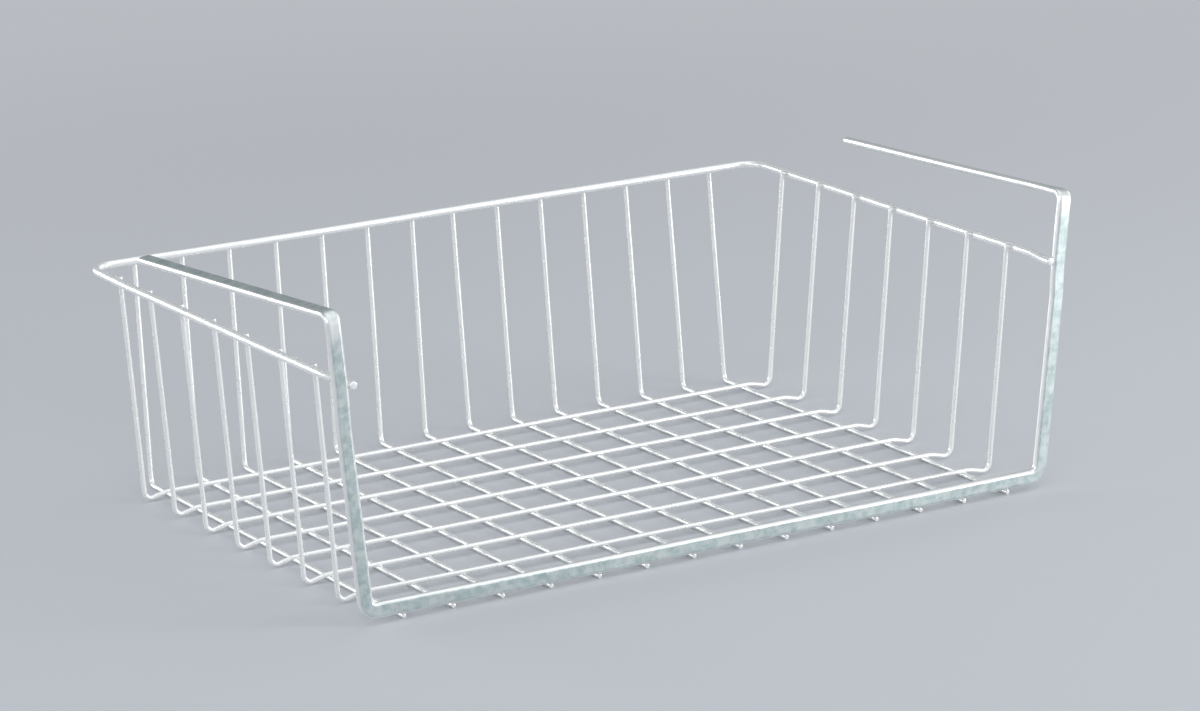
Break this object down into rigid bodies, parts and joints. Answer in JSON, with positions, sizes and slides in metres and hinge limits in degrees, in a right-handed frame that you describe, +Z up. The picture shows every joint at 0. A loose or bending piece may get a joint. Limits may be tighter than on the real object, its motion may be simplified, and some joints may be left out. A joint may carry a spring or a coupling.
{
  "type": "under shelf basket",
  "caption": "Silver-white coated wire basket, open at the front, that hangs under a shelf board on two flat arms bent from its front frame.",
  "frame": {"origin": "on the resting plane, under the middle of the basket's width and depth", "axes": "+Z up, the open front and its rail face -Y, the back wall is at +Y, +X along the width"},
  "size_m": [0.4174, 0.2652, 0.149],
  "materials": {
    "strip_coating": "satin silver-white coating over flat steel strip, a little duller on the broad faces",
    "rim_coating": "satin silver-white coating over round steel wire",
    "wire_coating": "satin silver-white coating over thin round steel wire"
  },
  "bodies": {
    "root": {"hanger_frame": "strip_coating", "rim_wire": "rim_coating", "cross_wire_1": "wire_coating", "cross_wire_2": "wire_coating", "cross_wire_3": "wire_coating", "cross_wire_4": "wire_coating", "cross_wire_5": "wire_coating", "cross_wire_6": "wire_coating", "cross_wire_7": "wire_coating", "floor_back_wire_01": "wire_coating", "floor_back_wire_02": "wire_coating", "floor_back_wire_03": "wire_coating", "floor_back_wire_04": "wire_coating", "floor_back_wire_05": "wire_coating", "floor_back_wire_06": "wire_coating", "floor_back_wire_07": "wire_coating", "floor_back_wire_08": "wire_coating", "floor_back_wire_09": "wire_coating", "floor_back_wire_10": "wire_coating", "floor_back_wire_11": "wire_coating", "floor_back_wire_12": "wire_coating", "floor_back_wire_13": "wire_coating", "floor_back_wire_14": "wire_coating"}
  },
  "joints": []
}
